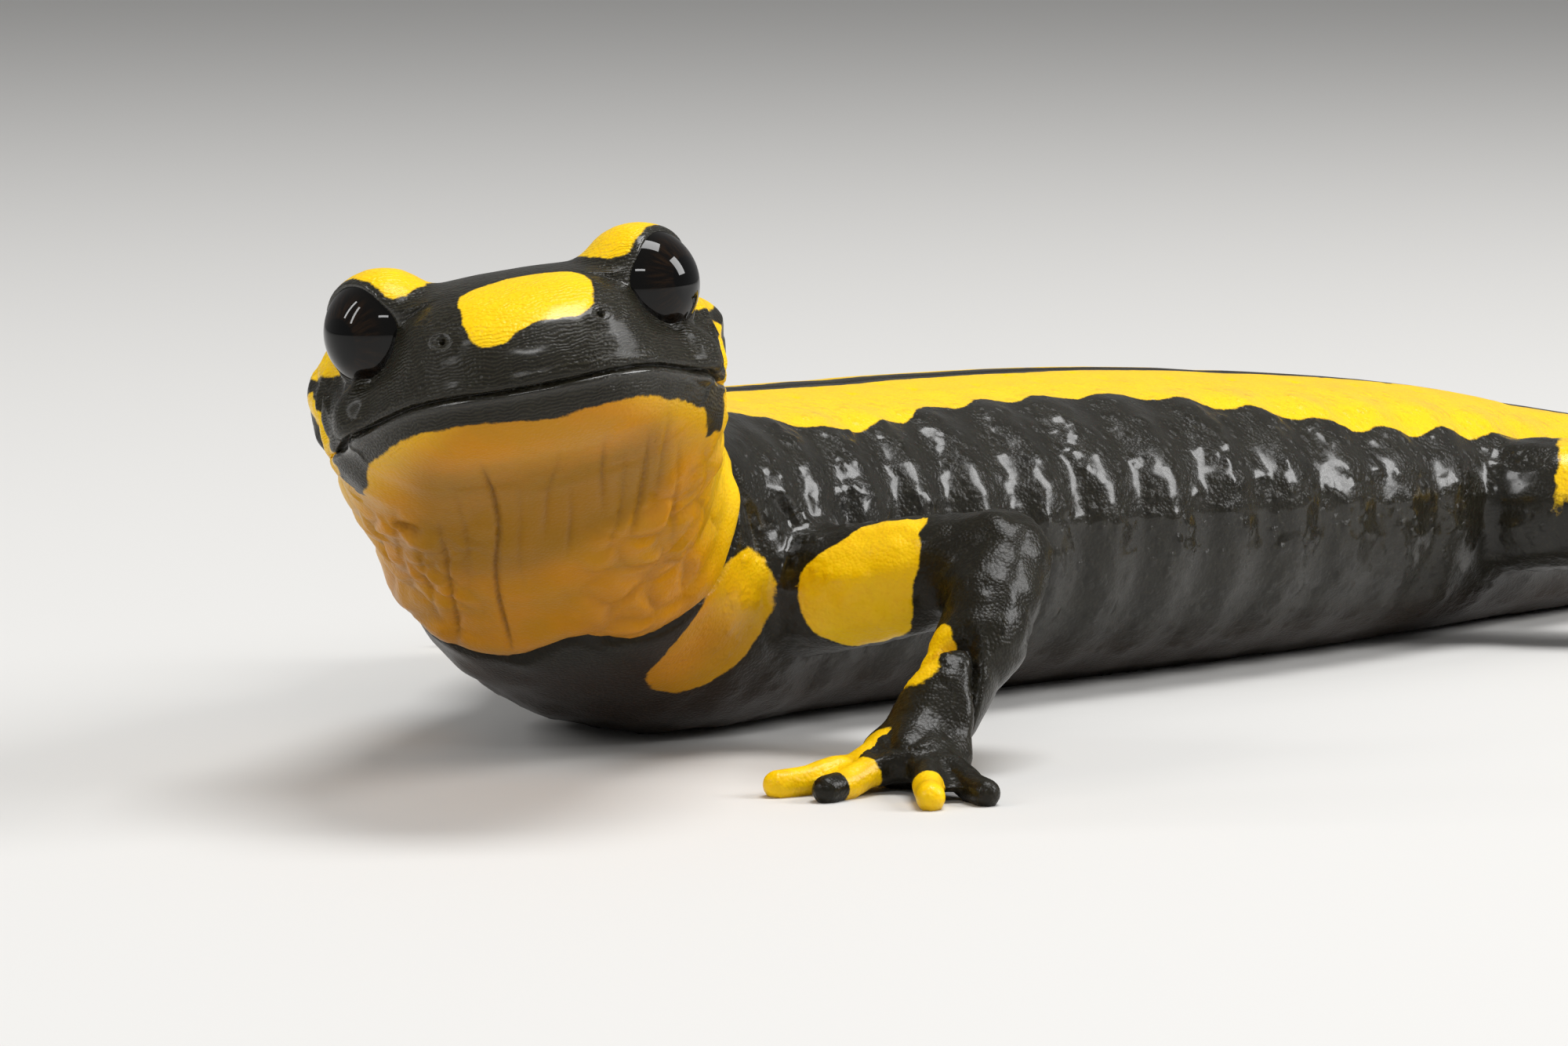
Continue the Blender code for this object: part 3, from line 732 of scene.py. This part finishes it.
upper = through((stripe_starts, 30, 40, 60, 90, 110, 140, 170, body_length),
                (38, 22, 11, 9, 10, 11, 10, 7, 4), on_stripe)
upper = upper + 2.0 * grain(np.stack((s, angle / 20 + 7, np.zeros(len(s))), axis=1), 4.0, 8.0)
mm_per_degree = np.radians(1) * np.clip(reach, 1, 12)
turned = np.abs(angle)
for side in (1, -1):
    band = both((lower - turned) * mm_per_degree, (turned - upper) * mm_per_degree, 0.8)
    band = both(band, s - 20.2)
    for gap_at, gap_size in left_gaps if side > 0 else right_gaps:
        leaning = s - gap_at + 0.05 * (turned - 30) + 0.5 * stripe_noise
        band = both(band, np.abs(leaning) - gap_size, 1.4)
    yellow = np.maximum(yellow, np.where((angle * side > 0) & (reach < 13), band, FAR_OUT))

# Limbs: a yellow band round every upper limb but the left foreleg's, which has a patch of its own, smaller
# patches lower down, and the yellow of the digits, each from one share of its length to another.
limb_bands = (("foreleg_left", 0, 0), ("foreleg_right", 7.4, 14.2), ("hindleg_left", 7.6, 13.4),
              ("hindleg_right", 7.2, 14.0))
limb_patches = (
    ((-28.2, -18.2, 8.6, 3.3), (-27.2, -18.9, 10.6, 2.4), (-25.3, -19.7, 12.6, 0.6)),
    ((-28.4, -24.9, 6.8, 1.1), (-29.8, -25.6, 5.0, 1.5)),
    ((-18.6, 21.4, 6.4, 1.4), (-18.2, 22.2, 4.6, 1.2)),
    ((41.6, -23.6, 5.0, 1.6), (42.8, -25.0, 4.2, 1.1)),
    ((24.8, 22.6, 5.2, 1.5), (25.8, 24.4, 4.2, 1.1)),
)
yellow_digits = (
    ("foreleg_left", 0, -0.1, 1.4), ("foreleg_left", 1, 0.4, 0.84), ("foreleg_left", 2, 0.62, 1.1),
    ("foreleg_right", 1, 0.45, 1.4), ("foreleg_right", 3, 0.2, 1.4), ("foreleg_right", 0, 0.6, 1.4),
    ("hindleg_left", 0, 0.3, 1.4), ("hindleg_left", 2, 0.4, 0.85), ("hindleg_left", 4, 0.35, 1.4),
    ("hindleg_right", 1, 0.45, 1.4), ("hindleg_right", 2, 0.3, 0.8), ("hindleg_right", 4, 0.5, 1.4),
)
limb_yellow = np.full(len(points), FAR_OUT)
off_limbs = np.full(len(points), -FAR_OUT)
wobble = 0.7 * grain(points, 2.6, 11.0)
for limb, first, last in limb_bands:
    joints = np.array(limbs[limb][0])
    distance, along = from_line(points, joints)
    upper_side = points[:, 2] - on_line(joints, along)[:, 2] + 0.9
    along *= np.linalg.norm(np.diff(joints, axis=0), axis=1).sum()
    off_limbs = np.minimum(off_limbs, np.maximum(distance - 4.2, 7.2 - along))
    patch = both(both(along - first, last - along, 2), upper_side, 2) + wobble
    limb_yellow = np.maximum(limb_yellow, both(patch, both(4.2 - distance, along - 7.2)))
for stroke in limb_patches:
    limb_yellow = np.maximum(limb_yellow, dab(points, stroke))
for name, number, first, last in yellow_digits:
    line = digit_line(limbs[name], number)
    length = (line[-1] - line[0]).length
    distance, along = from_line(points, line)
    for other in range(len(limbs[name][3])):
        if other != number:
            other_distance = from_line(points, digit_line(limbs[name], other))[0]
            distance = np.where(other_distance < distance, 9, distance)
    patch = both(both((along - first) * length, (last - along) * length, 0.6), 1.6 - distance, 0.3)
    limb_yellow = np.maximum(limb_yellow, patch)
yellow = np.maximum(both(yellow, off_limbs), limb_yellow)

# Painted shade: the middle of the throat is darkened to olive, and its wrinkles, furrows and dimple to brown.
# The lids' margins, the lips and the snout are wet.
under = on_underside(angle)
olive_shade_mask = under * smooth_step(3, 8, s) * smooth_step(2.5, -1.5, s - 18.5 + np.clip(left, 0, 9)) \
    * smooth_step(7.5, 5.5, np.abs(left))
lumpy = np.nonzero((s > 8) & (s < 30) & (np.abs(angle) > 60))[0]
# Painted shade in the throat's wrinkles, in the furrows between its lumps and in its dimple.
throat_fold_shade = under * throat_lines(s, left) \
    + 1.4 * bell(np.hypot(s - dimple_at[0], left - dimple_at[1]), 0.5)
lump_furrow_shade = (1 - 2.5 * loose_lumps(points[lumpy])).clip(0, 1)
throat_fold_shade[lumpy] += loose_skin(s, left)[lumpy] * lump_furrow_shade * 0.45
wet = np.zeros(len(points))
for side in (1, -1):
    way, eye_reach = from_eye(head, side)
    wet = np.maximum(wet, bell(beyond_lids(way), 0.35) * (eye_reach < 4))
wet = np.maximum(wet, 0.6 * bell(above_lips + 0.3, 0.35) * (head[:, 0] > -12) * (head[:, 2] < 3))
wet = np.maximum(wet, 0.7 * bell(np.linalg.norm((head - (-0.6, 1.6, 2.4)) / (1, 2, 1), axis=1), 1.3))
for name, values in (
    ("yellow", yellow),
    # The throat's sallow tone: partly its own colour, partly painted shade on the underside of the throat and
    # chest.
    ("throat", smooth_step(88, 128, np.abs(angle)) * smooth_step(44, 32, s) * (reach < 12.5)),
    ("face", smooth_step(-16, -12, head[:, 0]) * smooth_step(-2.4, -1.2, above_lips)),
    # Painted shade in the middle of the throat.
    ("olive_shade_mask", olive_shade_mask),
    ("flank", smooth_step(29, 34, s) * smooth_step(192, 120, s) * smooth_step(20, 45, np.abs(angle))
     * smooth_step(150, 95, np.abs(angle)) * smooth_step(3.0, 4.2, near_limbs(points))),
    # Painted shade in the throat's wrinkles, furrows and dimple.
    ("folds", np.clip(throat_fold_shade, 0, 1)),
    ("wet", wet),
    ("lips", above_lips),
    ("underside", smooth_step(112, 140, np.abs(angle)) * smooth_step(27, 30, s)),
):
    kept = skin.data.attributes.new(name, "FLOAT", "POINT")
    kept.data.foreach_set("value", np.clip(values, -20, 20).astype(np.float32))

# The skin's material: black and egg yellow, split by the markings with a slightly ragged edge. The throat is
# sallow, partly its own tone and partly painted shade; its middle and creases carry more painted shade, and
# the crests of the face's wrinkles a painted highlight. The flanks and the lids' margins are wet, and fine
# relief breaks up the shine.
black = bpy.data.materials.new("moist_skin")
black.use_nodes = True
nodes, links = black.node_tree.nodes, black.node_tree.links
shader = nodes["Principled BSDF"]


def attribute(name):
    """What the skin or an eye keeps at its points under a name."""
    node = nodes.new("ShaderNodeAttribute")
    node.attribute_name = name
    return node.outputs["Fac"]


def number(operation, a, b=0.0, clamp=False):
    """One step of arithmetic, on numbers that are plain or come from another node."""
    node = nodes.new("ShaderNodeMath")
    node.operation = operation
    node.use_clamp = clamp
    for socket, value in zip(node.inputs, (a, b)):
        if isinstance(value, (int, float)):
            socket.default_value = value
        else:
            links.new(value, socket)
    return node.outputs[0]


def blend(share, a, b):
    """A share of the way from colour a to colour b."""
    node = nodes.new("ShaderNodeMix")
    node.data_type = "RGBA"
    for socket, value in zip((node.inputs["Factor"], node.inputs["A"], node.inputs["B"]), (share, a, b)):
        if isinstance(value, (int, float)):
            socket.default_value = value
        elif isinstance(value, tuple):
            socket.default_value = (*value, 1)
        else:
            links.new(value, socket)
    return node.outputs["Result"]


place = nodes.new("ShaderNodeTexCoord").outputs["Object"]


def speckle(size, detail=2.0):
    """Soft noise with lumps of one size in millimetres."""
    node = nodes.new("ShaderNodeTexNoise")
    node.inputs["Scale"].default_value = 1 / (size * MM)
    node.inputs["Detail"].default_value = detail
    links.new(place, node.inputs["Vector"])
    return node.outputs["Fac"]


def pebbles(size):
    """How far each place is from the middle of the nearest grain, with grains of one size in millimetres."""
    node = nodes.new("ShaderNodeTexVoronoi")
    node.inputs["Scale"].default_value = 1 / (size * MM)
    links.new(place, node.inputs["Vector"])
    return node.outputs["Distance"]


def spread(value, low, high):
    """0 at low and 1 at high, with a soft start and end."""
    node = nodes.new("ShaderNodeMapRange")
    node.interpolation_type = "SMOOTHSTEP"
    links.new(value, node.inputs["Value"])
    node.inputs["From Min"].default_value = low
    node.inputs["From Max"].default_value = high
    return node.outputs["Result"]


black_skin, grey_skin, fine_fleck_grey = (0.005, 0.004, 0.002), (0.015, 0.013, 0.007), (0.026, 0.023, 0.013)
# The first grey here is a painted highlight for the crests of the face's wrinkles.
crest_highlight_grey, belly_brown = (0.034, 0.030, 0.018), (0.030, 0.014, 0.007)
egg_yellow, pale_yellow, orange_grain = (0.90, 0.53, 0.001), (0.95, 0.62, 0.002), (0.80, 0.38, 0.0)
# The throat's sallow tones: partly its own colour, partly painted shade.
sallow_shade_pale, sallow_shade_deep = (0.50, 0.180, 0.001), (0.44, 0.175, 0.001)
# Painted shade on the throat: olive for its middle, brown for its creases.
throat_olive_shade, fold_shade_brown = (0.25, 0.12, 0.003), (0.17, 0.065, 0.002)
ragged = number("ADD", number("MULTIPLY", number("SUBTRACT", speckle(1.1), 0.5), 0.4),
                number("MULTIPLY", number("SUBTRACT", speckle(0.15), 0.5), 0.14))
in_yellow = spread(number("ADD", attribute("yellow"), ragged), -0.07, 0.08)
mottle = speckle(2.2, 3)
fine = speckle(0.25, 2)
dark = blend(mottle, black_skin, grey_skin)
# Paler grey flecks where the fine grain is high.
dark = blend(number("MULTIPLY", spread(fine, 0.5, 0.75), 0.5), dark, fine_fleck_grey)
wrinkles = number("SINE", number("ADD", number("MULTIPLY", attribute("lips"), 34.0),
                                 number("MULTIPLY", speckle(0.9, 3), 22.0)))
# Painted highlight: the crests of the face's fine wrinkles turn lighter grey.
painted_crest_highlight = number("MULTIPLY", spread(wrinkles, 0.1, 0.9), number("MULTIPLY", attribute("face"), 0.6))
dark = blend(painted_crest_highlight, dark, crest_highlight_grey)
dark = blend(number("MULTIPLY", attribute("underside"), 0.5), dark, belly_brown)
bright = blend(mottle, egg_yellow, pale_yellow)
bright = blend(number("MULTIPLY", spread(fine, 0.45, 0.8), 0.3), bright, orange_grain)
# Sallow on the throat's underside: partly its own tone, partly painted shade.
sallow_and_shade = blend(spread(speckle(3.0, 3), 0.35, 0.65), sallow_shade_pale, sallow_shade_deep)
bright = blend(number("MULTIPLY", attribute("throat"), 0.9), bright, sallow_and_shade)
# Painted shade: the middle of the throat darkened to olive.
bright = blend(number("MULTIPLY", attribute("olive_shade_mask"), 0.7), bright, throat_olive_shade)
# Painted shade: the throat's wrinkles, furrows and dimple darkened to brown.
bright = blend(number("MULTIPLY", attribute("folds"), 0.7), bright, fold_shade_brown)
links.new(blend(in_yellow, dark, bright), shader.inputs["Base Color"])
links.new(number("ADD", number("MULTIPLY", mottle, 0.16), 0.26), shader.inputs["Roughness"])
glossy_parts = number("ADD", attribute("wet"), number("MULTIPLY", attribute("flank"), 0.4))
links.new(number("ADD", glossy_parts, 0.12, clamp=True), shader.inputs["Coat Weight"])
shader.inputs["Coat Roughness"].default_value = 0.15
shader.inputs["Subsurface Weight"].default_value = 0.06
shader.inputs["Subsurface Scale"].default_value = 0.8 * MM
shader.inputs["Specular IOR Level"].default_value = 0.16

relief = number("ADD", number("MULTIPLY", pebbles(0.19), -0.028), number("MULTIPLY", fine, 0.016))
relief = number("ADD", relief, number("MULTIPLY", number("MULTIPLY", wrinkles, attribute("face")), 0.012))
for size, height in ((0.95, 0.13), (0.5, 0.04)):
    bumps = number("MULTIPLY", spread(pebbles(size), 0.45, 0.0), height)
    relief = number("ADD", relief, number("MULTIPLY", bumps, attribute("flank")))
bump = nodes.new("ShaderNodeBump")
bump.inputs["Strength"].default_value = 1
bump.inputs["Distance"].default_value = MM
links.new(relief, bump.inputs["Height"])
links.new(bump.outputs["Normal"], shader.inputs["Normal"])
skin.data.materials.append(black)
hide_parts(*flesh_nodes)
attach(skin, "root")

# ---------------------------------------------------------------------------------------------------
# The eyes. Each is a glossy dark ball deep in the head, seen through the lids: a clear front that bulges
# a little, a round black pupil, and a dark brown iris with fine streaks. The part inside the head is smaller.
front_bulge, back_drawn_in = 0.035, 0.16
pupil_ends, iris_ends = (1.15, 1.3), (2.0, 2.5)
pupil_black, eye_edge = (0.001, 0.001, 0.001), (0.003, 0.0025, 0.002)
iris_dark, iris_brown = (0.003, 0.002, 0.0015), (0.014, 0.007, 0.003)
for side, word in ((1, "left"), (-1, "right")):
    deselect_all()
    bpy.ops.mesh.primitive_uv_sphere_add(segments=128, ring_count=64, radius=eye_radius)
    eyeball = bpy.context.object
    eyeball.name = f"eyeball_{word}"
    count = len(eyeball.data.vertices)
    ball = np.empty(count * 3)
    eyeball.data.vertices.foreach_get("co", ball)
    ball = ball.reshape(-1, 3)
    lean = np.arccos(np.clip(ball[:, 2] / eye_radius, -1, 1))
    ball *= (1 + front_bulge * bell(lean, 0.55) - back_drawn_in * smooth_step(1.25, 2.0, lean))[:, None]
    from_axis = np.hypot(ball[:, 0], ball[:, 1])
    turned = np.arctan2(ball[:, 1], ball[:, 0])
    pupil = eyeball.data.attributes.new("from_axis", "FLOAT", "POINT")
    pupil.data.foreach_set("value", np.where(ball[:, 2] > 0, from_axis, 3).astype(np.float32))
    streak = eyeball.data.attributes.new("streak", "FLOAT_VECTOR", "POINT")
    streak.data.foreach_set("vector", np.stack(
        (5 * np.cos(turned), 5 * np.sin(turned), 0.7 * from_axis), axis=1).astype(np.float32).ravel())
    eyeball.data.vertices.foreach_set("co", (ball * MM).ravel())
    outward = Vector((eye_outward.x, eye_outward.y * side, eye_outward.z))
    centre = head_frame @ Vector((eye_centre.x, eye_centre.y * side, eye_centre.z))
    turn = head_frame.to_3x3() @ outward.to_track_quat("Z", "Y").to_matrix()
    eyeball.data.transform(Matrix.Translation(centre * MM) @ turn.to_4x4())
    eyeball.data.update()
    eyeball.data.shade_smooth()
    glossy = bpy.data.materials.new(f"eye_{word}")
    glossy.use_nodes = True
    nodes, links = glossy.node_tree.nodes, glossy.node_tree.links
    shader = nodes["Principled BSDF"]
    around_iris = nodes.new("ShaderNodeAttribute")
    around_iris.attribute_name = "streak"
    streaks = nodes.new("ShaderNodeTexNoise")
    streaks.inputs["Scale"].default_value = 2.2
    streaks.inputs["Detail"].default_value = 4
    links.new(around_iris.outputs["Vector"], streaks.inputs["Vector"])
    iris = blend(spread(streaks.outputs["Fac"], 0.42, 0.72), iris_dark, iris_brown)
    iris = blend(spread(attribute("from_axis"), *iris_ends), iris, eye_edge)
    eye_colour = blend(spread(attribute("from_axis"), *pupil_ends), pupil_black, iris)
    links.new(eye_colour, shader.inputs["Base Color"])
    shader.inputs["Roughness"].default_value = 0.3
    shader.inputs["Specular IOR Level"].default_value = 0
    shader.inputs["Coat Weight"].default_value = 1
    shader.inputs["Coat Roughness"].default_value = 0.02
    shader.inputs["Coat IOR"].default_value = 1.34
    eyeball.data.materials.append(glossy)
    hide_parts(f"eye_{word}")
    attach(eyeball, "root")

# ---------------------------------------------------------------------------------------------------
# The setting. A pale matt floor under soft light: a broad light above, another to the camera's right, and
# three thin strips that draw the highlights in the eyes. The camera looks at the head from low in front.
bpy.ops.mesh.primitive_plane_add(size=4)
floor = bpy.context.object
floor.name = "floor"
pale = bpy.data.materials.new("pale_floor")
pale.use_nodes = True
pale.node_tree.nodes["Principled BSDF"].inputs["Base Color"].default_value = (0.64, 0.632, 0.615, 1)
pale.node_tree.nodes["Principled BSDF"].inputs["Roughness"].default_value = 0.7
floor.data.materials.append(pale)

azimuth, elevation = math.radians(-40), math.radians(7)
camera_distance, aim_right, aim_down = 0.317, 0.01362, 0.01102
above_eye_middles = 0.33
towards = Vector(
    (math.sin(azimuth) * math.cos(elevation), -math.cos(azimuth) * math.cos(elevation), math.sin(elevation))
)
right = Vector((math.cos(azimuth), math.sin(azimuth), 0))
above = towards.cross(right)
between_eyes = head_frame @ Vector((eye_centre.x, 0, eye_centre.z + above_eye_middles)) * MM
aim = between_eyes + right * aim_right - above * aim_down
camera_data = bpy.data.cameras.new("camera")
camera_data.lens = 146
camera_data.sensor_width = 36
camera_data.clip_start = 0.01
camera = bpy.data.objects.new("camera", camera_data)
turn = Matrix((right, above, towards)).transposed().to_4x4()
camera.matrix_world = Matrix.Translation(aim + towards * camera_distance) @ turn
bpy.context.scene.collection.objects.link(camera)
bpy.context.scene.camera = camera

world = bpy.data.worlds.new("studio")
world.use_nodes = True
world.node_tree.nodes["Background"].inputs["Color"].default_value = (0.8, 0.8, 0.8, 1)
world.node_tree.nodes["Background"].inputs["Strength"].default_value = 0.32
bpy.context.scene.world = world
bpy.context.scene.view_settings.view_transform = "Standard"
lit_place = Vector((-0.03, -0.01, 0.01))
for name, place, size, power in (
    ("sky_light", (0.10, -0.10, 0.75), (0.28, 0.36), 4.2),
    ("right_light", (0.42, -0.42, 0.38), (0.22, 0.34), 3.2),
    ("left_strip_near", (-0.64, 0.10, 0.40), (0.05, 0.34), 0.9),
    ("left_strip_far", (-0.55, 0.30, 0.46), (0.05, 0.34), 0.9),
    ("front_strip", (-0.42, -0.50, 0.44), (0.22, 0.05), 0.6),
):
    light_data = bpy.data.lights.new(name, "AREA")
    light_data.shape = "RECTANGLE"
    light_data.size, light_data.size_y = size
    light_data.energy = power
    light = bpy.data.objects.new(name, light_data)
    light.location = place
    light.rotation_euler = (lit_place - Vector(place)).to_track_quat("-Z", "Y").to_euler()
    bpy.context.scene.collection.objects.link(light)
